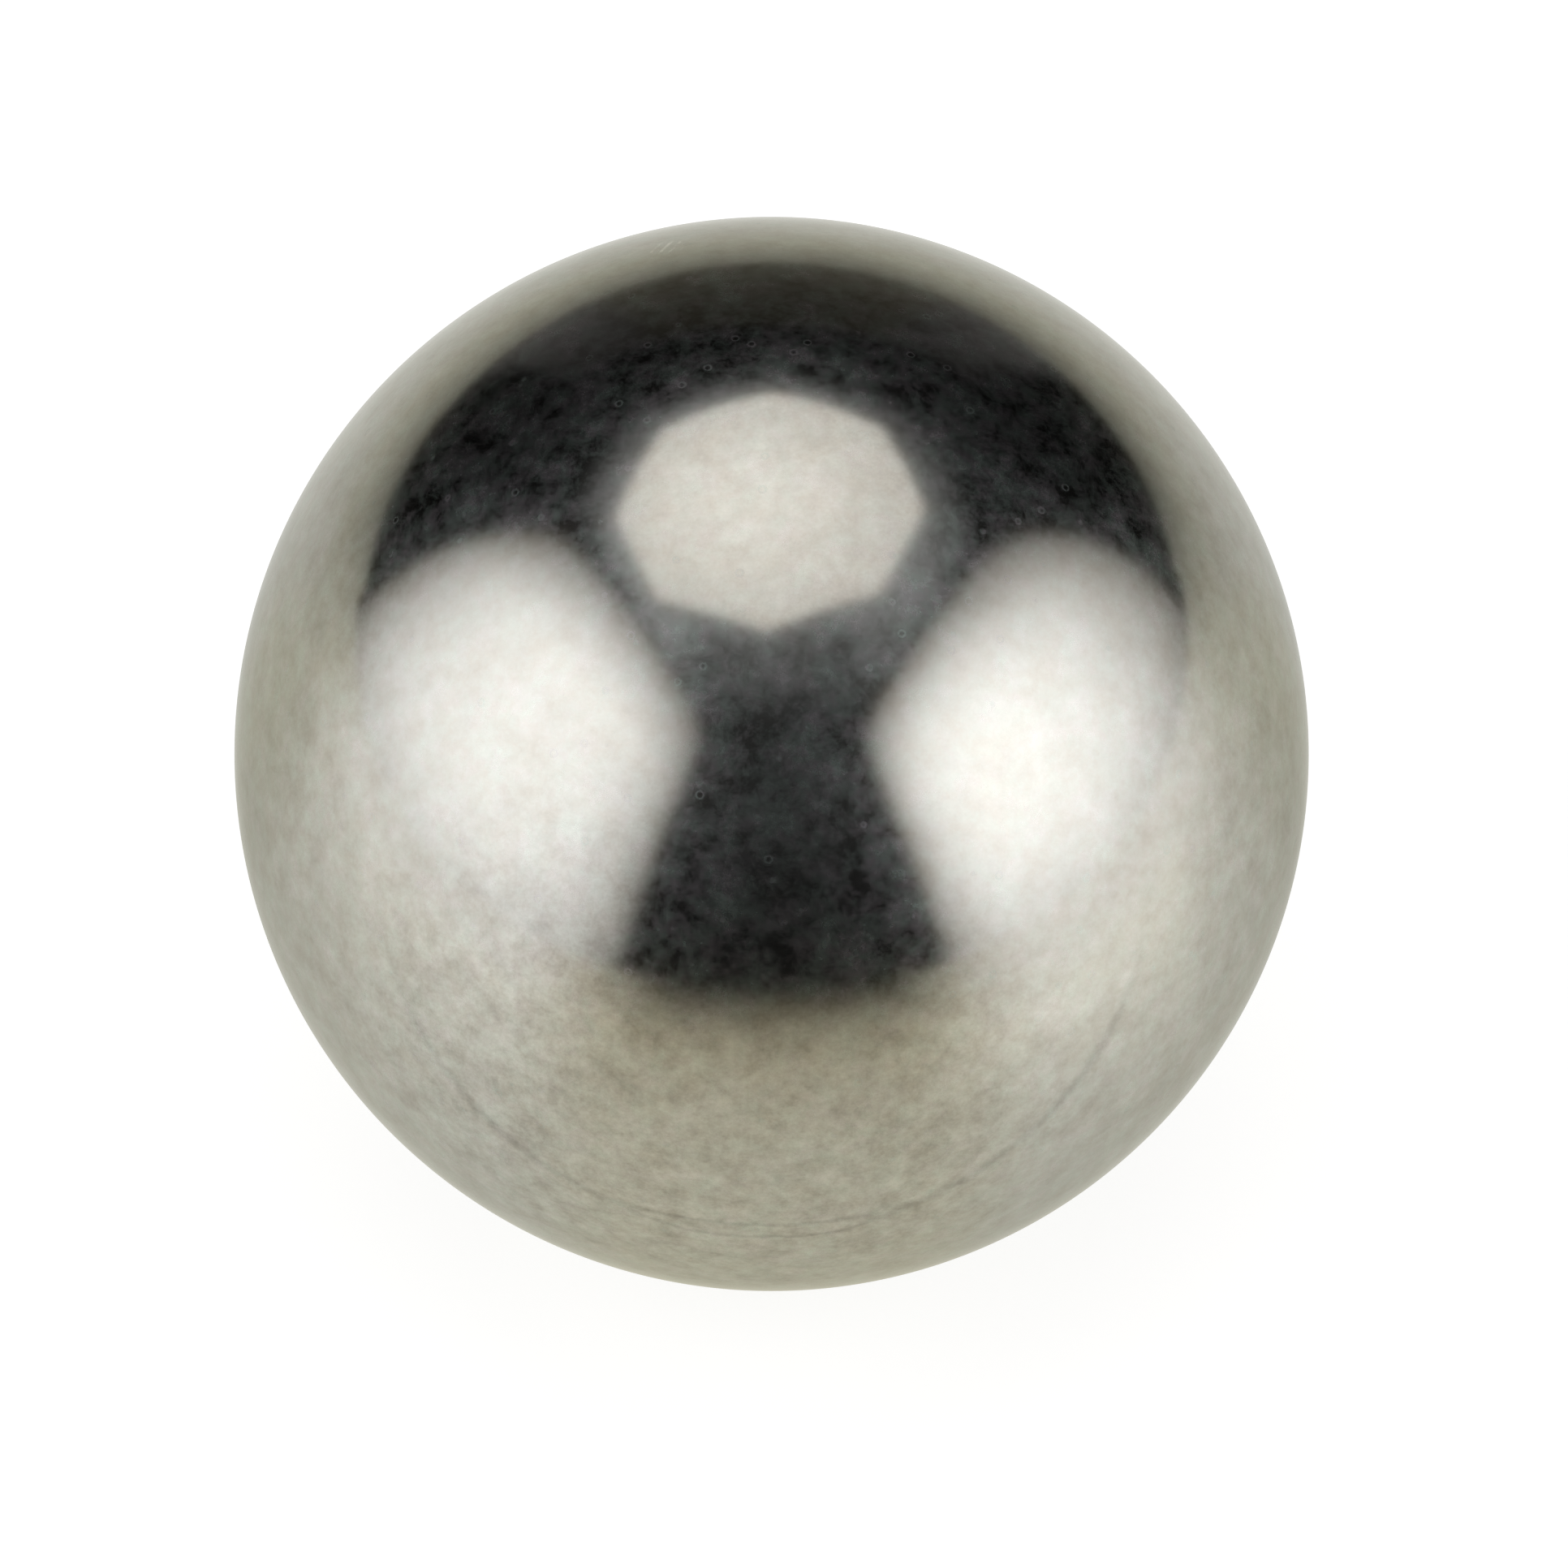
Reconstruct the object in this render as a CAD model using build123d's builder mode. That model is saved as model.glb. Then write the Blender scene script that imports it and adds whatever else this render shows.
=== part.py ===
from build123d import *

import os

# Polished steel ball, one solid piece.
# It is headed from wire, hardened, and ground and lapped until it is round, so no seam, flat or pole is left.
# Lengths are in millimetres. The origin is the centre of the ball, and +Z points up.

# Driving dimension
ball_diameter = 25.4

# Worked out from the driving dimension
ball_radius = ball_diameter / 2

# Ball
# The section is the half disc on the +X side of the vertical axis, and a full turn about that axis makes the ball.
with BuildPart() as ball:
    with BuildSketch(Plane.XZ):
        with BuildLine():
            section_arc = CenterArc((0, 0), ball_radius, -90, 180)
            Line(section_arc @ 1, section_arc @ 0)
        make_face()
    revolve(axis=Axis.Z)
ball.part.label = "ball"

# Step file
os.makedirs("parts", exist_ok=True)
export_step(ball.part, "parts/ball.step")
print("ball volume in cubic millimetres", round(ball.part.volume, 2))
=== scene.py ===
# %% [markdown]
# # A polished steel ball in a small photo studio
# A mirror has almost no look of its own. What the eye reads as steel is the room that the ball reflects, and
# how sharply it reflects it. So this lesson has two halves: the ball, with the fine finish of ground and
# lapped steel, and the studio around it, with one lamp overhead and one on each side.
# Lengths are metres, and the ball is where the construction model has it.

# %% Load the construction model
import math

import bmesh
import bpy
from mathutils import Matrix, Vector


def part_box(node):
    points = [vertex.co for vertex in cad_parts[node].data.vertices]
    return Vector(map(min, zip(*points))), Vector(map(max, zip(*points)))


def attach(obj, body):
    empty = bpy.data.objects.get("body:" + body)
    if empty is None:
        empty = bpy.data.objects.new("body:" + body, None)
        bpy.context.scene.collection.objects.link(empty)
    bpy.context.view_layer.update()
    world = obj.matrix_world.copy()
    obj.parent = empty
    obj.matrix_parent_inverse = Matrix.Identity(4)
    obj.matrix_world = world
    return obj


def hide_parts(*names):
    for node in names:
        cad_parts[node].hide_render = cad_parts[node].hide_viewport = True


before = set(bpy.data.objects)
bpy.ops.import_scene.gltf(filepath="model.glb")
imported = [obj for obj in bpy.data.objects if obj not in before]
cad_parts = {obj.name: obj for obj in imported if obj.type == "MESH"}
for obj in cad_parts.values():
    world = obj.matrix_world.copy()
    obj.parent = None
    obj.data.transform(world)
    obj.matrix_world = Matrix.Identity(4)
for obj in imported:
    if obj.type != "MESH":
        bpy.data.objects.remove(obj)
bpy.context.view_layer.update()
ball_low, ball_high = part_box("ball")
ball_radius = (ball_high[2] - ball_low[2]) / 2
ball_centre = Vector((0, 0, (ball_low[2] + ball_high[2]) / 2))
print("ball radius in millimetres", round(ball_radius * 1000, 3))

# %% [markdown]
# ## The camera
# The ball shows where it was photographed from. The edge of the table runs round it as a line of reflected
# horizon, and that line lies as far from the middle of the ball as it does only for a camera that looks down
# at 50 degrees. A long lens from half a metre gives the flat perspective of a close-up picture. The lens is
# worked out from how large the ball stands in the picture, and a small shift puts it where it stands.

# %% Make the camera
photo_side = 1932
ball_in_photo = (950.7, 928.9)
ball_radius_in_photo = 661.9
camera_elevation = math.radians(50)
camera_distance = 40 * ball_radius
sensor_width = 0.036
millimetre = 0.001

to_camera = Vector((0, -math.cos(camera_elevation), math.sin(camera_elevation)))
picture_right = Vector((1, 0, 0))
picture_up = to_camera.cross(picture_right)
outline_slope = ball_radius / math.sqrt(camera_distance**2 - ball_radius**2)

camera_data = bpy.data.cameras.new("camera")
camera_data.sensor_width = sensor_width / millimetre
camera_data.lens = camera_data.sensor_width * ball_radius_in_photo / photo_side / outline_slope
camera_data.shift_x = (photo_side / 2 - ball_in_photo[0]) / photo_side
camera_data.shift_y = (ball_in_photo[1] - photo_side / 2) / photo_side
camera = bpy.data.objects.new("camera", camera_data)
camera.location = ball_centre + to_camera * camera_distance
camera.rotation_euler = to_camera.to_track_quat("Z", "Y").to_euler()
bpy.context.collection.objects.link(camera)
bpy.context.scene.camera = camera
bpy.context.scene.view_settings.view_transform = "Standard"
print("lens in millimetres", round(camera_data.lens, 1))

# %% [markdown]
# ## From a point of the picture to a point of the ball
# Small marks are placed by where the picture shows them. The line of sight through that point of the picture
# meets the ball twice, and the nearer meeting is the mark's place. It is kept in ball radii from the centre
# of the ball, because the finish is written in ball radii too.


# %% Find a place on the ball
def on_ball(picture_x, picture_y):
    """Where on the ball the picture shows this point, in ball radii from its centre."""
    across = (picture_x - ball_in_photo[0]) / ball_radius_in_photo * outline_slope
    upward = (ball_in_photo[1] - picture_y) / ball_radius_in_photo * outline_slope
    sight = (picture_right * across + picture_up * upward - to_camera).normalized()
    start = to_camera * camera_distance / ball_radius
    middle = -start.dot(sight)
    half_chord = math.sqrt(middle**2 - start.length_squared + 1)
    return start + sight * (middle - half_chord)


print("nearest point of the ball, in ball radii", [round(v, 3) for v in on_ball(*ball_in_photo)])

# %% [markdown]
# ## Shader maths as plain sums
# A shader is a chain of nodes, and a long chain is hard to read. Here a node's output is wrapped in a small
# class, so that a sum written in Python adds the Math node that works it out. The reflected forms let a plain
# number stand first, as in 1 - mask.


# %% Wrap a socket
class Signal:
    """One output of a node. A sum on it adds the Math node that works it out."""

    def __init__(self, recipe, socket):
        self.recipe = recipe
        self.socket = socket

    def __add__(self, other):
        return self.recipe.maths("ADD", self, other)

    def __sub__(self, other):
        return self.recipe.maths("SUBTRACT", self, other)

    def __rsub__(self, other):
        return self.recipe.maths("SUBTRACT", other, self)

    def __mul__(self, other):
        return self.recipe.maths("MULTIPLY", self, other)

    def __truediv__(self, other):
        return self.recipe.maths("DIVIDE", self, other)

    def __rtruediv__(self, other):
        return self.recipe.maths("DIVIDE", other, self)

    def __pow__(self, other):
        return self.recipe.maths("POWER", self, other)

    def __neg__(self):
        return self.recipe.maths("MULTIPLY", self, -1)

    __radd__ = __add__
    __rmul__ = __mul__


# %% [markdown]
# Every other node comes from one method, which sets the node up first and then fills its sockets with values
# or links. The methods under it are short names for the few nodes that this scene uses again and again.


# %% Write a material as a recipe
class Recipe:
    """The nodes of one material, or of the world."""

    def __init__(self, owner):
        owner.use_nodes = True
        self.tree = owner.node_tree
        self.tree.nodes.clear()

    def node(self, kind, settings=None, inputs=None, output=0):
        """Adds a node, sets it up, fills its sockets with values or links, and gives one output back."""
        made = self.tree.nodes.new(kind)
        for name, value in (settings or {}).items():
            setattr(made, name, value)
        for name, value in (inputs or {}).items():
            if isinstance(value, Signal):
                self.tree.links.new(value.socket, made.inputs[name])
            else:
                made.inputs[name].default_value = value
        return Signal(self, made.outputs[output]) if made.outputs else made

    def maths(self, operation, *terms):
        """A Math node on one, two or three numbers."""
        return self.node("ShaderNodeMath", {"operation": operation}, dict(enumerate(terms)))

    def between(self, value, start, end):
        """Rises smoothly from 0 where value is start to 1 where it is end."""
        settings = {"interpolation_type": "SMOOTHSTEP"}
        return self.node("ShaderNodeMapRange", settings, {"Value": value, "From Min": start, "From Max": end})

    def held(self, value, lowest, highest):
        """Keeps a number between two limits."""
        return self.maths("MINIMUM", self.maths("MAXIMUM", value, lowest), highest)

    def tint(self, factor, first, second):
        """Mixes two colours."""
        inputs = {"Factor": factor, 6: first, 7: second}
        return self.node("ShaderNodeMix", {"data_type": "RGBA"}, inputs, 2)

    def scaled(self, vector, amount):
        """A vector or colour, times a number."""
        return self.node("ShaderNodeVectorMath", {"operation": "SCALE"}, {0: vector, "Scale": amount})

    def apart(self, first, second):
        """How far two points are from each other."""
        return self.node("ShaderNodeVectorMath", {"operation": "DISTANCE"}, {0: first, 1: second}, "Value")

    def along(self, vector, direction):
        """How far a vector reaches in a direction."""
        inputs = {0: vector, 1: direction}
        return self.node("ShaderNodeVectorMath", {"operation": "DOT_PRODUCT"}, inputs, "Value")

    def parts_of(self, vector):
        """The three numbers of a vector."""
        split = self.node("ShaderNodeSeparateXYZ", inputs={0: vector}).socket.node
        return [Signal(self, socket) for socket in split.outputs]

    def place(self, centre=Vector()):
        """The point being shaded, in ball radii from a point of the piece."""
        here = self.node("ShaderNodeTexCoord", output="Object")
        offset = self.node("ShaderNodeVectorMath", {"operation": "SUBTRACT"}, {0: here, 1: centre})
        return self.scaled(offset, 1 / ball_radius)

    def ray(self, kind):
        """1 for one kind of ray, such as Camera or Glossy, and 0 for the others."""
        return self.node("ShaderNodeLightPath", output=f"Is {kind} Ray")

    def mirror_ray(self):
        """1 for the rays that metal and glass see by, and 0 for the others."""
        return self.maths("MAXIMUM", self.ray("Glossy"), self.ray("Transmission"))


def blend(mask, first, second):
    """The first value where the mask is 0, the second where it is 1, and a mix of both between."""
    return first + (second - first) * mask


# %% [markdown]
# ## The ball
# A steel ball is headed from wire, hardened, ground between plates and lapped until it is round to a small
# part of a hair's width. There is no seam, no flat and no pole on it, so its mesh should have none either.
# A UV sphere gathers its faces at two poles, and a mirror shows that as a pinch. A cube cut into an even grid
# and blown up to a ball keeps its faces nearly alike everywhere. Cuts spaced evenly on the cube would crowd
# at its corners, so each cut is first moved to an even angle.

# %% Blow a cube up to a ball
cuts_per_edge = 95


def even_angle(value):
    """Moves a cut of the cube, from -1 to 1, to where cuts lie at even angles from the cube's centre."""
    return math.tan(value * math.pi / 4)


def blown_up_cube(radius, cuts):
    """A ball of even faces: a cube cut into a grid, with each point pushed out to the radius."""
    shape = bmesh.new()
    bmesh.ops.create_cube(shape, size=2)
    bmesh.ops.subdivide_edges(shape, edges=shape.edges[:], cuts=cuts, use_grid_fill=True)
    for point in shape.verts:
        point.co = Vector([even_angle(value) for value in point.co]).normalized() * radius
    bmesh.ops.recalc_face_normals(shape, faces=shape.faces[:])
    return shape


ball_shape = blown_up_cube(ball_radius, cuts_per_edge)
bmesh.ops.translate(ball_shape, verts=ball_shape.verts[:], vec=ball_centre)
print("faces of the ball", len(ball_shape.faces))

# %% [markdown]
# Each shape then becomes an object in the same way. All of its faces are shaded smooth, so that the mirror
# shows no facets.


# %% Turn a shape into an object
def finished(shape, name, material):
    """Makes an object of a bmesh and frees the bmesh."""
    mesh = bpy.data.meshes.new(name)
    for face in shape.faces:
        face.smooth = True
    shape.to_mesh(mesh)
    shape.free()
    mesh.materials.append(material)
    made = bpy.data.objects.new(name, mesh)
    bpy.context.collection.objects.link(made)
    return made


# %% [markdown]
# ## The finish of the steel
# Lapping leaves a mirror, but not a perfect one. The grain of the steel and a film of oil give it a soft
# mottle, some tenths of a millimetre wide, in tone and in tint. Three noises make it: a fine one and a broad
# one for tone, and one of middling size that, with the fine one, turns the darker blotches a little browner.
# The mottle is strongest where the oil has dried, low on the near left, and calmest on two places at the
# sides where the side highlights fall: a painted washing out of the mottle by those highlights.

# %% Mottle
steel_material = bpy.data.materials.new("polished_steel")
steel = Recipe(steel_material)
where = steel.place(ball_centre)


def cloud(size, detail, roughness=0.5):
    """A noise of about 0.5, with blotches that are this many ball radii wide."""
    inputs = {"Vector": where, "Scale": 1 / size, "Detail": detail, "Roughness": roughness}
    return steel.node("ShaderNodeTexNoise", None, inputs)


def swing(noise, strength):
    """How far a noise is from its middle value, times a strength."""
    return (noise - 0.5) * strength


fine_mottle_size = 0.055
broad_mottle_size = 0.13
oil_tint_size = 0.06
grain = 0.82
mottle_strength = 0.62
broad_strength = 0.15
film_in_photo = (850, 1400)
film_reach = (0.85, 0.4)
# These two places are where the side highlights fall, and the mottle is painted calmer there, as if washed
# out by them.
side_highlights_in_photo = [(650, 900), (1290, 920)]
side_highlights_reach = (0.5, 0.3)
highlight_calm = 0.55

fine_mottle = cloud(fine_mottle_size, 4, grain)
broad_mottle = cloud(broad_mottle_size, 2)
oil_tint = cloud(oil_tint_size, 3, 0.7)
film = steel.between(steel.apart(where, on_ball(*film_in_photo)), *film_reach)
from_side_highlights = [steel.apart(where, on_ball(*place)) for place in side_highlights_in_photo]
under_side_highlights = steel.between(steel.maths("MINIMUM", *from_side_highlights), *side_highlights_reach)
calm = blend(under_side_highlights, 1, highlight_calm)
tone = 1 + swing(fine_mottle, mottle_strength) * (calm + film) + swing(broad_mottle, broad_strength) * calm
print("width of the fine mottle in millimetres", round(fine_mottle_size * ball_radius / millimetre, 2))

# %% [markdown]
# ## Pits
# Here and there a tiny pit shows as a dot in a ring: a pale ring where the ball mirrors something dark, and
# a dark one where it mirrors something bright. A Voronoi texture scatters points through space, and wherever
# one lies close to the skin of the ball, the distance to it draws a ring there. Some pits lie in two groups,
# near the top and low on the left, so these are listed one by one, and the nearer of the distances is used.

# %% Pits
pits_in_photo = [
    (906, 417), (926, 424), (978, 434), (995, 422), (1122, 437), (1142, 390), (872, 453), (798, 425),
    (522, 1255), (513, 1303), (614, 1346), (666, 1386), (790, 1478), (1320, 1271),
]
pit_spacing = 0.075
pit_radius = 0.0068
pit_rim = 0.0035

scatter = {"Vector": where, "Scale": 1 / pit_spacing}
to_pit = steel.node("ShaderNodeTexVoronoi", None, scatter, "Distance") * pit_spacing
for pit in pits_in_photo:
    to_pit = steel.maths("MINIMUM", to_pit, steel.apart(where, on_ball(*pit)))
pit_ring = steel.between(steel.maths("ABSOLUTE", to_pit - pit_radius), pit_rim, 0)
pit_floor = steel.between(to_pit, pit_radius, 0)
print("pits placed by hand", len(pits_in_photo))

# %% [markdown]
# ## One scuff
# Near the top the ball has touched something rough, which left a patch of short parallel strokes. A sine wave
# across the strokes makes them, a mask keeps them to the patch, and the fine mottle breaks them up.

# %% Scuff
scuff_in_photo = (824, 304)
scuff_size = 0.045
stroke_spacing = 0.012
stroke_crest = (0.2, 0.9)
stroke_breaks = (0.42, 0.58)

across_strokes = (picture_right - picture_up).normalized()
stroke_wave = steel.maths("SINE", steel.along(where, across_strokes) * (2 * math.pi / stroke_spacing))
scuff_patch = steel.between(steel.apart(where, on_ball(*scuff_in_photo)), scuff_size, scuff_size / 2)
scuff = steel.between(stroke_wave, *stroke_crest) * steel.between(fine_mottle, *stroke_breaks) * scuff_patch
print("place of the scuff, in ball radii", [round(v, 2) for v in on_ball(*scuff_in_photo)])

# %% [markdown]
# ## A painted reflection of an edge
# Low on the near side the ball mirrors a nearby edge as a thin dark line, and that reflection is painted onto
# the steel as a darker line. It is part of a circle on the ball, so the plane through three of its points
# gives its place, and noise lets it wander and fade. In the middle the line opens into a long flat loop, and
# there the distance is taken from the rim of the loop.

# %% A painted reflection of an edge
reflected_edge_in_photo = ((540, 1305), (935, 1517), (1365, 1275))
reflected_edge_reach = (1.05, 0.6)
reflected_edge_width = 0.016
reflected_edge_faintest = 0.75
reflected_edge_breaks = (0.42, 0.5)
reflected_loop_reach = (0.3, 0.12)
reflected_loop_height = 0.0165
reflected_loop_width = 0.008
wander_size = 0.05
wander_strength = 0.012

reflected_edge_left, reflected_edge_middle, reflected_edge_right = [on_ball(*point) for point in reflected_edge_in_photo]
reflected_edge_plane = (reflected_edge_middle - reflected_edge_left).cross(reflected_edge_right - reflected_edge_left).normalized()
to_reflected_edge_middle = steel.apart(where, reflected_edge_middle)
wander = swing(cloud(wander_size, 2), wander_strength)
off_plane = steel.maths("ABSOLUTE", steel.along(where, reflected_edge_plane) - reflected_edge_plane.dot(reflected_edge_middle) + wander)
reflected_loop = steel.between(to_reflected_edge_middle, *reflected_loop_reach)
off_line = steel.maths("ABSOLUTE", off_plane - reflected_loop * reflected_loop_height)
# This line darkens the steel: a painted reflection of an edge close to the ball, not a mark of the steel.
painted_edge_reflection = steel.between(off_line, blend(reflected_loop, reflected_edge_width, reflected_loop_width), 0)
painted_edge_reflection = painted_edge_reflection * blend(steel.between(oil_tint, *reflected_edge_breaks), reflected_edge_faintest, 1)
painted_edge_reflection = painted_edge_reflection * steel.between(to_reflected_edge_middle, *reflected_edge_reach)
print("plane of the oil line", [round(v, 2) for v in reflected_edge_plane])

# %% [markdown]
# ## Two lobes
# A bright lamp in a lapped ball has a crisp edge and, round it, a faint glow that reaches much further. One
# roughness can't give both. So two metals are mixed: almost all of it is the mirror, and a small share is a
# dull but pale haze, which wavers between green and violet as thin oil does. Rims of pits and strokes are
# duller, so they raise that share, and the floor of a pit lowers it. It stays under a quarter everywhere, so
# that the finish reads as a mirror. The edge tint keeps the outline of the ball as grey as lapped steel is.

# %% Mix the steel
cool_steel = (0.513, 0.507, 0.476, 1)
warm_steel = (0.525, 0.503, 0.466, 1)
green_haze = (0.775, 0.94, 0.90, 1)
violet_haze = (0.92, 0.87, 0.955, 1)
edge_colour = (0.80, 0.80, 0.77, 1)
mirror_roughness = 0.125
haze_roughness = 0.37
haze_share = 0.085
share_range = (0.006, 0.22)
rim_shade = 0.12
# The strokes are painted paler than the steel round them: a painted glint of the light they scatter.
stroke_gleam = 0.5
# The next number is how much darker the painted reflection of the edge makes the steel.
painted_edge_shade = 0.2
oil_warmth = 0.4
mottle_coolness = 0.6
warm_to_cool = (-0.02, -0.18)
haze_tint_size = 0.05
haze_tint_range = (0.38, 0.62)
smear_size = 0.065
smear_strength = 0.56
broad_smear_strength = 0.1
rim_haze = 0.12
floor_haze = 0.07
stroke_haze = 0.07


def metal(colour, roughness):
    """One lobe of the steel."""
    inputs = {"Base Color": colour, "Metallic": 1.0, "Roughness": roughness, "Specular Tint": edge_colour}
    return steel.node("ShaderNodeBsdfPrincipled", None, inputs)


marks = tone - rim_shade * pit_ring + stroke_gleam * scuff - painted_edge_shade * painted_edge_reflection
coolness = steel.between(oil_tint * oil_warmth - fine_mottle * mottle_coolness, *warm_to_cool)
mirror = metal(steel.scaled(steel.tint(coolness, warm_steel, cool_steel), marks), mirror_roughness)
haze_tint = steel.between(cloud(haze_tint_size, 3, 0.8), *haze_tint_range)
haze = metal(steel.tint(haze_tint, green_haze, violet_haze), haze_roughness)
smear = swing(cloud(smear_size, 4, grain), smear_strength) + swing(broad_mottle, broad_smear_strength)
share = haze_share + smear + rim_haze * pit_ring - floor_haze * pit_floor + stroke_haze * scuff
share = steel.held(share, *share_range)
steel_surface = steel.node("ShaderNodeMixShader", None, {0: share, 1: mirror, 2: haze})
steel.node("ShaderNodeOutputMaterial", None, {"Surface": steel_surface})

ball = finished(ball_shape, "polished_ball", steel_material)
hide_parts("ball")
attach(ball, "root")
print("triangles of the ball", sum(len(face.vertices) - 2 for face in ball.data.polygons))

# %% [markdown]
# ## The studio
# Two lamp panels stand on the table, one on each side, and an eight-sided one hangs overhead. Everything else
# is dark cloth, which gives the deep bands between the panels. In a ball this small only the direction and
# the angle of a panel matter, so all of them are sized in ball radii, and their materials read places in
# ball radii as well. None of them is seen by the camera, and none is part of the ball.


# %% A glowing stage piece
def stage_piece(shape, name, glow_of, place=Matrix(), sampling="AUTO"):
    """A stage piece that only glows. The function is given a recipe, and gives the colour of the light."""
    material = bpy.data.materials.new(name)
    recipe = Recipe(material)
    light = recipe.node("ShaderNodeEmission", None, {"Color": glow_of(recipe)})
    recipe.node("ShaderNodeOutputMaterial", None, {"Surface": light})
    material.cycles.emission_sampling = sampling
    made = finished(shape, name, material)
    made.matrix_world = place
    made.visible_camera = False
    return made


def flat_sheet(across, upward):
    """An upright sheet of one face, from the first to the second number each way, in ball radii."""
    shape = bmesh.new()
    bmesh.ops.create_grid(shape, x_segments=1, y_segments=1, size=0.5)
    bmesh.ops.translate(shape, verts=shape.verts[:], vec=(0.5, 0.5, 0))
    bmesh.ops.rotate(shape, verts=shape.verts[:], matrix=Matrix.Rotation(math.pi / 2, 3, "X"))
    bmesh.ops.scale(shape, verts=shape.verts[:], vec=(across[1] - across[0], 1, upward[1] - upward[0]))
    bmesh.ops.translate(shape, verts=shape.verts[:], vec=(across[0], 0, upward[0]))
    bmesh.ops.scale(shape, verts=shape.verts[:], vec=(ball_radius,) * 3)
    return shape


# %% [markdown]
# ## Side panels
# A real lamp panel is brightest near its middle and fades to its rim, and in the ball that fade is what makes
# the highlight look soft. Each way from the brightest spot the light falls off as 1 - (distance / reach) to
# some power: a high power keeps it flat and then drops, and a low one fades all the way. At the very rim,
# what is left of the light drops off quickly. Where it is weak it is a little warmer, as the light through
# the cloth near the rim is. The reaches and powers of the two panels were tuned until their highlights in the
# ball looked like the real ones.

# %% Side panels
panel_distance = 26
panel_foot = -1
rim_light = (0.02, 0.16)
weak_colour = (1.035, 1, 0.92, 1)
strong_colour = (1, 1, 0.985, 1)
strong_from = 0.7


def side_panel(name, bearing, peak, hot_spot, front, back, top, foot, lean, droop, corner_loss):
    """A panel that stands on the table. Bearing is in degrees from the camera's side, + to the right.
    The hot spot is how far behind the middle line and how high it is. The next four are (reach, power).
    Lean is how far the front edge runs forward, and droop how far the top edge sinks towards the back, for
    each radius. Corner loss is the sum of the falls at which a corner starts and ends to round off."""
    side = math.copysign(1, bearing)
    turn = math.radians(bearing)
    outward = Vector((math.sin(turn), -math.cos(turn), 0))
    backward = Vector((math.cos(turn), math.sin(turn), 0)) * side
    upward = Vector((0, 0, 1))

    def light(recipe):
        """The colour of the light at each place of the panel."""
        across, _, height = recipe.parts_of(recipe.place())
        above = height - hot_spot[1]
        behind = across - hot_spot[0]
        drooping = above + recipe.maths("MAXIMUM", behind, 0) * droop
        falls = [(-behind - above * lean, front), (behind, back), (drooping, top), (-above, foot)]
        strength = 1
        lost = 0
        for distance, (reach, power) in falls:
            fall = recipe.held(distance / reach, 0, 1) ** power
            strength = strength * (1 - fall)
            lost = fall + lost
        rounding_starts, rounding_ends = corner_loss
        strength = strength * recipe.between(lost, rounding_ends, rounding_starts)
        strength = strength * recipe.between(strength, *rim_light)
        colour = recipe.tint(recipe.between(strength, 0, strong_from), weak_colour, strong_colour)
        return recipe.scaled(colour, strength * peak)

    top_edge = hot_spot[1] + top[0]
    front_edge = hot_spot[0] - front[0] - top[0] * lean
    shape = flat_sheet((front_edge, hot_spot[0] + back[0]), (panel_foot, top_edge))
    facing = Matrix((backward, outward, upward)).transposed().to_4x4()
    place = Matrix.Translation(ball_centre + outward * panel_distance * ball_radius) @ facing
    print(name, "reaches", top_edge, "ball radii high")
    return stage_piece(shape, name, light, place)


side_panel(
    "left_panel", bearing=-66, peak=1.7, hot_spot=(1.4, 26.7), front=(25.2, 3), back=(31, 2.06),
    top=(24.2, 1.11), foot=(36.7, 4), lean=0.115, droop=0.25, corner_loss=(1.5, 2.1),
)
side_panel(
    "right_panel", bearing=66, peak=1.9, hot_spot=(0.1, 17.3), front=(19.4, 3.55), back=(35.4, 1.27),
    top=(25.3, 1.54), foot=(27.3, 2.8), lean=0.084, droop=0.056, corner_loss=(0.2, 2.45),
)

# %% [markdown]
# ## The panel overhead
# An eight-sided panel hangs over the ball, a little behind it. Its eight straight edges show in the ball as a
# crisp octagon. It isn't quite even: it is some hundredths longer one way than the other. It is cloth over
# one lamp, so it too is brightest in the middle, and its light is a little warmer than that of the side
# panels.

# %% Overhead panel
overhead_height = 40
overhead_behind = 13.5
overhead_aside = -0.25
overhead_radius = 23.2
overhead_hot_spot = (-3.1, -2.3, 0)
overhead_fade = (2.5, 22.5)
overhead_colour = (1.025, 1, 0.943)
overhead_brightest = 1.3
overhead_dimmest = 1.015
overhead_stretch = (1.035, 0.985, 1)
overhead_stretch_turn = math.radians(57)


def overhead_light(recipe):
    """Brightest at the hot spot, and dimmer towards the rim."""
    from_hot_spot = recipe.apart(recipe.place(), overhead_hot_spot)
    faded = recipe.between(from_hot_spot, *overhead_fade)
    return recipe.scaled(overhead_colour, blend(faded, overhead_brightest, overhead_dimmest))


overhead_shape = bmesh.new()
bmesh.ops.create_circle(overhead_shape, cap_ends=True, segments=8, radius=overhead_radius * ball_radius)
stretch_frame = Matrix.Rotation(-overhead_stretch_turn, 4, "Z")
bmesh.ops.scale(overhead_shape, verts=overhead_shape.verts[:], vec=overhead_stretch, space=stretch_frame)
corners = [[round(value / ball_radius, 1) for value in point.co[:2]] for point in overhead_shape.verts]
print("corners of the overhead panel, in ball radii", corners)
overhead_place = ball_centre + Vector((overhead_aside, overhead_behind, overhead_height)) * ball_radius
stage_piece(overhead_shape, "overhead_panel", overhead_light, Matrix.Translation(overhead_place))
print("overhead panel is", round(2 * overhead_radius * ball_radius, 2), "metres across")

# %% [markdown]
# ## The dark room
# Behind the lamps it is nearly dark, but not quite. A great ball round the whole studio carries the tones of
# the room, by direction. Bearings are in degrees from the camera's side, and a pair of numbers gives where a
# change starts and ends.

# %% Bearings
room_radius = 130


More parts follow.
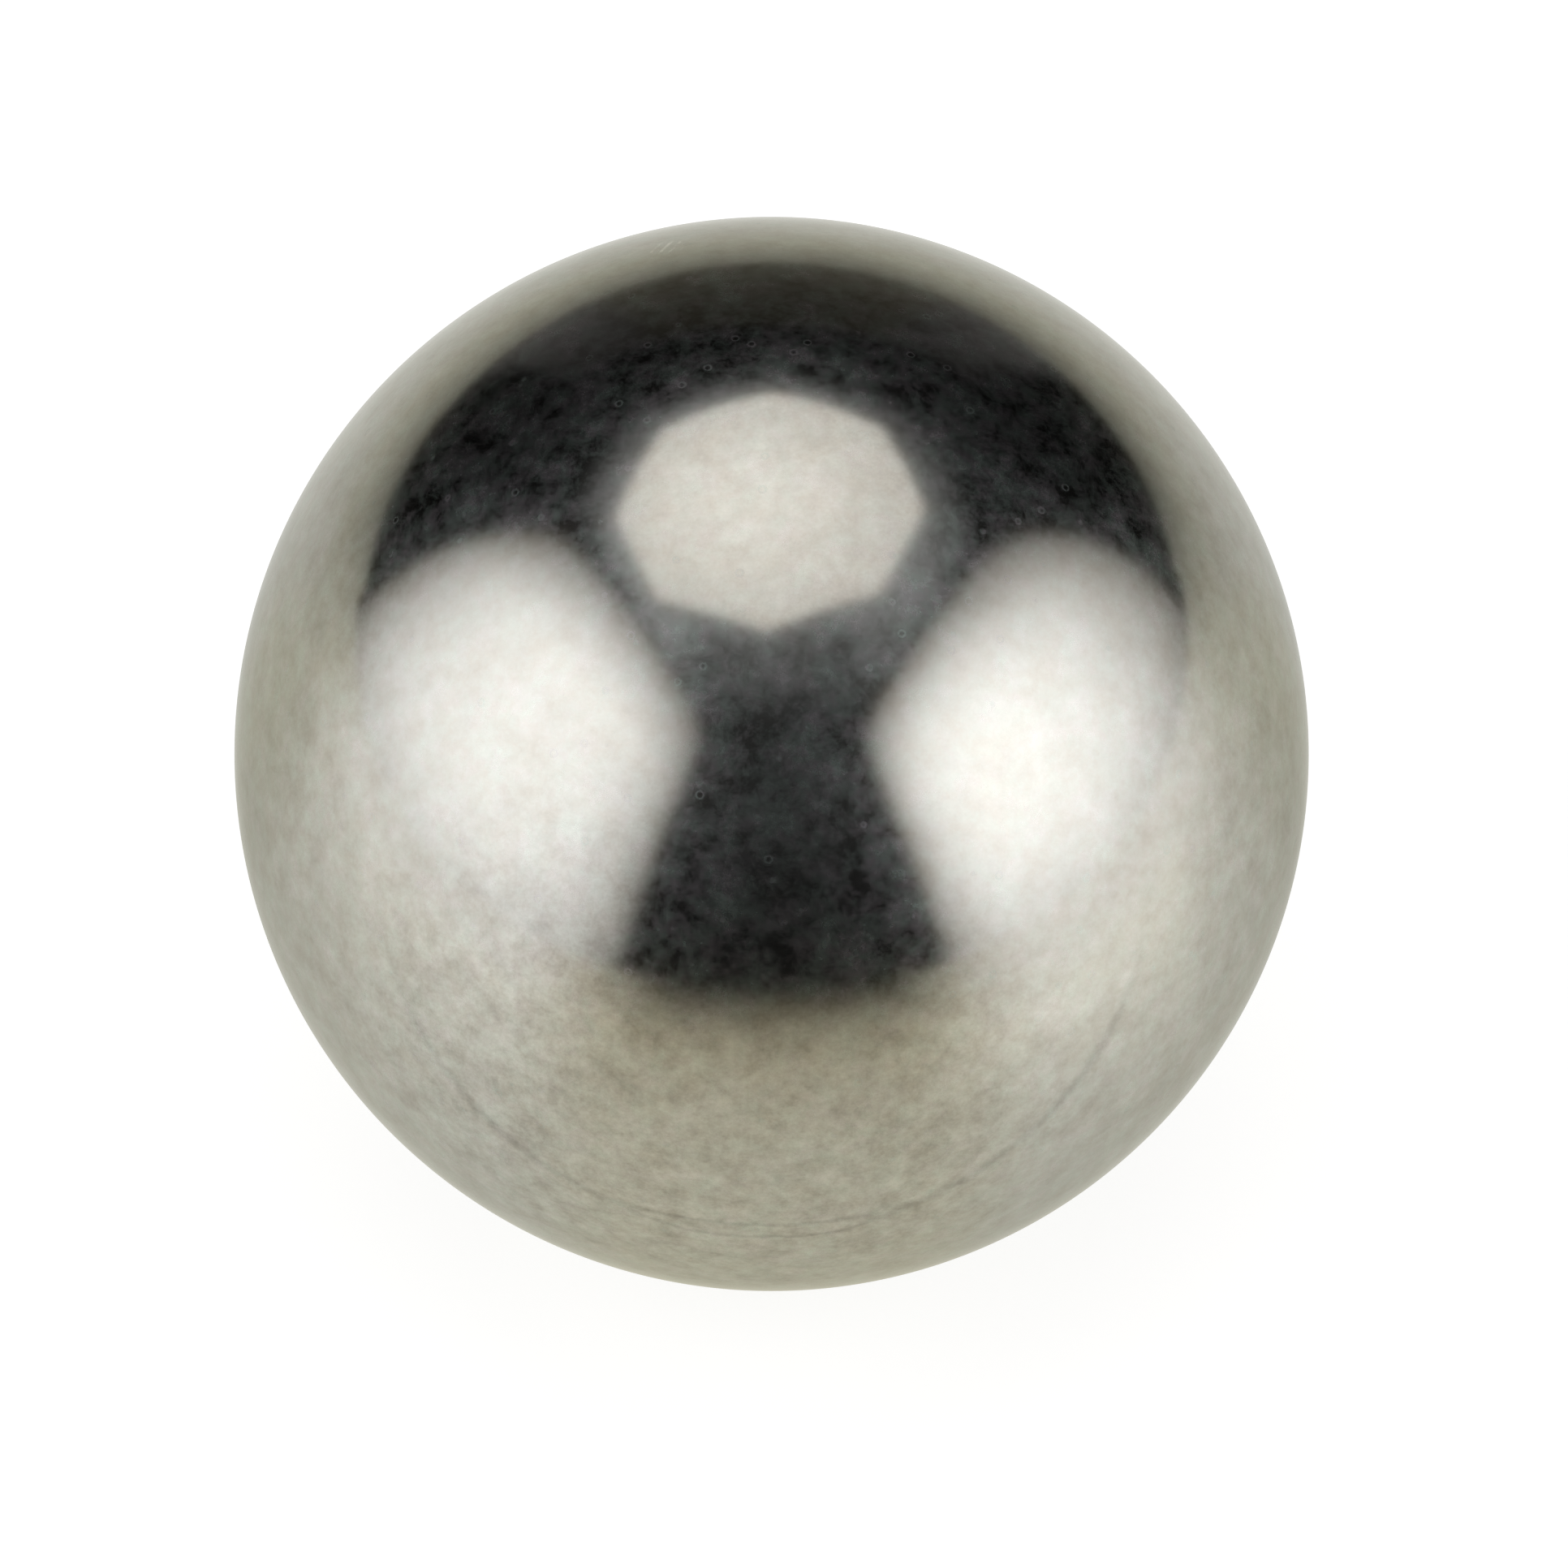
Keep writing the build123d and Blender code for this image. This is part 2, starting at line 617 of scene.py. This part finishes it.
def bearing_of(recipe, across, depth):
    """Degrees from the camera's side, the same to the left and to the right."""
    return recipe.maths("ABSOLUTE", recipe.maths("ARCTAN2", across, -depth)) * math.degrees(1)


print("the room is", round(2 * room_radius * ball_radius, 1), "metres across")

# %% [markdown]
# The wall at the back takes some light from the table, and shows as a brown band that fades upwards and is
# paler at its two ends.

# %% Wall at the back
wall_light = 0.077
wall_colour = (1.06, 1, 0.8, 1)
wall_end_colour = (1.04, 1, 1.0, 1)
wall_sides = (32, 27)
wall_ends = (14, 19)
wall_end_gain = 1.15
wall_top = (28, 24)
wall_top_slope = 0.12
wall_glow_height = 24
wall_least = 0.28


def wall_tone(recipe, from_back, elevation):
    """Where the back wall is, how bright it is there, and its colour."""
    below_top = recipe.between(elevation + wall_top_slope * from_back, *wall_top)
    on_wall = recipe.between(from_back, *wall_sides) * below_top
    near_table = recipe.maths("MAXIMUM", 1 - elevation / wall_glow_height, 0) ** 2
    at_end = recipe.between(from_back, *wall_ends)
    strength = on_wall * blend(near_table, wall_least, 1) * blend(at_end, 1, wall_end_gain) * wall_light
    return on_wall, strength, recipe.tint(at_end, wall_colour, wall_end_colour)


print("the wall spans", 2 * wall_sides[0], "degrees and is", wall_top[0], "degrees high")

# %% [markdown]
# The ceiling catches some glow of the overhead panel, less towards the back and to the right, and still less
# straight in front of it. Places on it are in ball radii, at the height of the panel.

# %% Ceiling
ceiling_light = 0.31
ceiling_rim = (39, 22)
ceiling_slope = 0.12
ceiling_back = (2, 18)
ceiling_back_gain = 0.72
ceiling_sides = (-0.3, 0.3)
ceiling_left_gain = 1.08
ceiling_right_gain = 0.83
ceiling_gap_depth = (-3, -11)
ceiling_gap_side = (16, 10)
ceiling_gap_gain = 0.38
above_table = (0, 20)


def ceiling_tone(recipe, across, depth, height):
    """How bright the ceiling is round the overhead panel."""
    ceiling_across = across / height * overhead_height
    ceiling_depth = depth / height * overhead_height
    off_middle = (ceiling_across**2 + (ceiling_depth - overhead_behind) ** 2) ** 0.5
    strength = recipe.between(off_middle + ceiling_slope * ceiling_depth, *ceiling_rim)
    strength = strength * blend(recipe.between(ceiling_depth, *ceiling_back), 1, ceiling_back_gain)
    to_right = recipe.between(across / height, *ceiling_sides)
    strength = strength * blend(to_right, ceiling_left_gain, ceiling_right_gain)
    to_side = recipe.maths("ABSOLUTE", ceiling_across)
    in_gap = recipe.between(ceiling_depth, *ceiling_gap_depth) * recipe.between(to_side, *ceiling_gap_side)
    strength = strength * blend(in_gap, 1, ceiling_gap_gain)
    return strength * recipe.between(height, *above_table) * ceiling_light


print("the glow on the ceiling reaches", ceiling_rim[0], "ball radii")

# %% [markdown]
# A little light reaches the front of the room as well. The light of the whole room is only meant for the
# mirror, so it casts none on the floor.

# %% Dark room
room_light = 0.002
room_colour = (0.95, 1, 1.02, 1)
front_light = 0.024
front_sides = (60, 10)
front_rise = (10, 42)
front_least = 0.3


def room_tones(recipe):
    """The light from each direction of the dark room."""
    across, depth, height = recipe.parts_of(recipe.place())
    bearing = bearing_of(recipe, across, depth)
    elevation = recipe.maths("ARCSINE", height / room_radius) * math.degrees(1)
    on_wall, wall, wall_tint = wall_tone(recipe, 180 - bearing, elevation)
    risen = blend(recipe.between(elevation, *front_rise), front_least, 1)
    front = recipe.between(bearing, *front_sides) * risen * front_light
    strength = room_light + wall + front + ceiling_tone(recipe, across, depth, height)
    return recipe.scaled(recipe.tint(on_wall, room_colour, wall_tint), strength)


room_cuts = 15
room_shape = blown_up_cube(room_radius * ball_radius, room_cuts)
room = stage_piece(room_shape, "dark_room", room_tones, Matrix.Translation(ball_centre), "NONE")
room.visible_diffuse = False
room.visible_shadow = False
print("faces of the room", len(room.data.polygons))

# %% [markdown]
# ## The table
# The camera sees a plain white table with the soft shadow of the ball. The ball sees the same table from very
# low down, and there its half-gloss surface mirrors the side panels: it is bright on both sides, and darkens
# towards the front and the back, where only dark cloth stands behind it. So the light that the mirror gets
# from each place of the table depends on its bearing and on its distance from the ball, in ball radii. These
# tones were tuned until the lower half of the ball looked like the real one.
# Behind the ball the table is dim, and the glow of the overhead lamp lightens it.

# %% Table behind the ball
# These tones are painted light: a glow that stands in for the lamps' light on the table and the sheen of the
# side panels in it.
back_light = 0.65
back_light_middle = 0.795
back_middle = (105, 125)
back_fade = 7.8
back_sides = (-24, 24)
back_left_gain = 1.13
back_right_gain = 0.87
glow_light = 0.88
glow_least = 0.2
glow_fade = 6
glow_power = 1.5
glow_bearing = (101, 161)
glow_distance = (1, 3)


def light_behind(recipe, across, away, bearing):
    """How bright the table is behind the ball."""
    dim = blend(recipe.between(bearing, *back_middle), back_light, back_light_middle) / (1 + away / back_fade)
    glowing = glow_least + glow_light / (1 + (away / glow_fade) ** glow_power)
    in_glow = recipe.between(bearing, *glow_bearing) * recipe.between(away, *glow_distance)
    to_right = recipe.between(across, *back_sides)
    return blend(in_glow, dim, glowing) * blend(to_right, back_left_gain, back_right_gain)


print("halfway to dark behind the ball at", back_fade, "ball radii")

# %% [markdown]
# Beside the ball the side panels glow in the table. Close to the ball that glow builds up with the distance,
# and it starts and ends at a bearing in front of each panel and behind it. The right side is a little
# brighter than the left one.

# %% Table beside the ball
side_light = 1.08
right_light = 0.135
right_across = (-4, 4)
right_bearing = (95, 65)
build_up_start = 0.5
build_up_end = 4.5
build_up_delay = 4.5
build_up_right = -1.4
delay_bearing = (70, 95)
far_gain = 1.04
far_distance = (6, 13)
side_front = (19, 52.5)
side_front_turn = 4
side_front_far_turn = -3.5
side_front_distance = (3, 6)
side_back = (134, 83)
side_back_left = 3
far_left = (-8, -30)


def light_beside(recipe, across, away, bearing, near):
    """How bright the glow of the side panels is in the table, and how much of it is seen there."""
    to_right = (recipe.between(across, *right_across) - 0.5) * recipe.between(bearing, *right_bearing)
    delay = build_up_delay * recipe.between(bearing, *delay_bearing)
    built_up = recipe.between(away, build_up_start, build_up_end + delay + build_up_right * to_right)
    lit = blend(built_up, near, side_light + right_light * to_right)
    lit = lit * blend(recipe.between(away, *far_distance), 1, far_gain)
    turn = blend(recipe.between(away, *side_front_distance), side_front_turn, side_front_far_turn)
    past_front = recipe.between(bearing + to_right * turn, *side_front)
    back_start = side_back[0] + side_back_left * recipe.between(across, *far_left)
    return lit, past_front * recipe.between(bearing, back_start, side_back[1])


print("the side panels glow in the table from", side_front[0], "to", side_back[0], "degrees")

# %% [markdown]
# The light that the mirror gets from the table is warm in front of the ball, grey beside it, and olive
# further off and behind.

# %% Colours of the table
near_warm = (1.033, 1, 0.82, 1)
far_warm = (1.08, 1, 0.735, 1)
warm_distance = (6, 1)
side_grey = (1.01, 1, 0.9, 1)
back_grey = (1, 1, 0.95, 1)
back_grey_bearing = (115, 140)
far_grey = (1.018, 1, 0.95, 1)
far_grey_distance = (1.5, 10)
olive = (1.01, 1, 0.84, 1)
olive_bearing = (90, 115)
olive_distance = (2.5, 9)
half_behind_bearing = (135, 115)
half_behind_distance = (1, 3)
beside_bearing = (21, 49)
beside_distance = (0.1, 1)


def mirrored_table_tint(recipe, away, bearing):
    """The colour of the light that the mirror gets from each place of the table."""
    warm = recipe.tint(recipe.between(away, *warm_distance), far_warm, near_warm)
    near_grey = recipe.tint(recipe.between(bearing, *back_grey_bearing), side_grey, back_grey)
    grey = recipe.tint(recipe.between(away, *far_grey_distance), near_grey, far_grey)
    half_behind = recipe.between(bearing, *half_behind_bearing) * recipe.between(away, *half_behind_distance)
    olive_here = recipe.maths("MAXIMUM", recipe.between(away, *olive_distance), half_behind)
    beside_colour = recipe.tint(recipe.between(bearing, *olive_bearing) * olive_here, grey, olive)
    beside = recipe.between(bearing, *beside_bearing) * recipe.between(away, *beside_distance)
    return recipe.tint(beside, warm, beside_colour)


print("olive starts at", olive_bearing[0], "degrees")

# %% [markdown]
# In front of the ball the light fades with the square of the distance, and close to the ball it is a little
# brighter on the left. The three parts of the table then run into each other with the bearing.

# %% Light of the table, as the ball sees it
near_light = 0.672
near_left = (0.3, -0.6)
near_left_gain = 1.045
front_fade = 7.2
back_to_front = (115, 70)


def table_light(recipe):
    """The light that the mirror gets from each place of the table."""
    here = recipe.place()
    across, depth, _ = recipe.parts_of(here)
    away = recipe.apart(here, Vector())
    bearing = bearing_of(recipe, across, depth)
    near = near_light * blend(recipe.between(across / away, *near_left), 1, near_left_gain)
    in_front = near / (1 + (away / front_fade) ** 2)
    behind = light_behind(recipe, across, away, bearing)
    unlit = blend(recipe.between(bearing, *back_to_front), behind, in_front)
    lit, beside = light_beside(recipe, across, away, bearing, near)
    return recipe.scaled(mirrored_table_tint(recipe, away, bearing), blend(beside, unlit, lit))


print("halfway to dark in front of the ball at", front_fade, "ball radii")

# %% [markdown]
# One material holds both: what the camera sees is a white table that keeps a shadow, and what metal and glass
# see is the light above.

# %% Table
table_reach = 400
table_colour = (0.45, 0.45, 0.45, 1)
table_roughness = 0.8
table_glow = 0.75
white_distance = (8, 30)

table_shape = bmesh.new()
bmesh.ops.create_grid(table_shape, x_segments=2, y_segments=2, size=table_reach * ball_radius)
table_material = bpy.data.materials.new("pale_table")
table_recipe = Recipe(table_material)
far_off = table_recipe.between(table_recipe.apart(table_recipe.place(), Vector()), *white_distance)
seen_glow = table_recipe.ray("Camera") * blend(far_off, table_glow, 1)
table_inputs = {
    "Base Color": table_colour,
    "Roughness": table_roughness,
    "Emission Color": table_recipe.scaled((1, 1, 1), seen_glow),
    "Emission Strength": 1.0,
}
seen = table_recipe.node("ShaderNodeBsdfPrincipled", None, table_inputs)
mirrored = table_recipe.node("ShaderNodeEmission", None, {"Color": table_light(table_recipe)})
table_mix = {0: table_recipe.mirror_ray(), 1: seen, 2: mirrored}
table_surface = table_recipe.node("ShaderNodeMixShader", None, table_mix)
table_recipe.node("ShaderNodeOutputMaterial", None, {"Surface": table_surface})
table_material.cycles.emission_sampling = "NONE"
table = finished(table_shape, "pale_table", table_material)
table.location = (0, 0, ball_low[2])
print("height of the table in millimetres", round(ball_low[2] / millimetre, 2))

# %% [markdown]
# ## The world
# Past the edge of the table the camera sees plain white. The world adds a weak even light to the table, which
# keeps the shadow of the ball pale.

# %% World
fill_light = 0.35

world = bpy.data.worlds.new("studio")
bpy.context.scene.world = world
world_recipe = Recipe(world)
seen_white = world_recipe.maths("MAXIMUM", world_recipe.ray("Camera"), world_recipe.mirror_ray())
background = {"Color": (1, 1, 1, 1), "Strength": blend(seen_white, fill_light, 1)}
sky = world_recipe.node("ShaderNodeBackground", None, background)
world_recipe.node("ShaderNodeOutputWorld", None, {"Surface": sky})
print("fill light", fill_light)
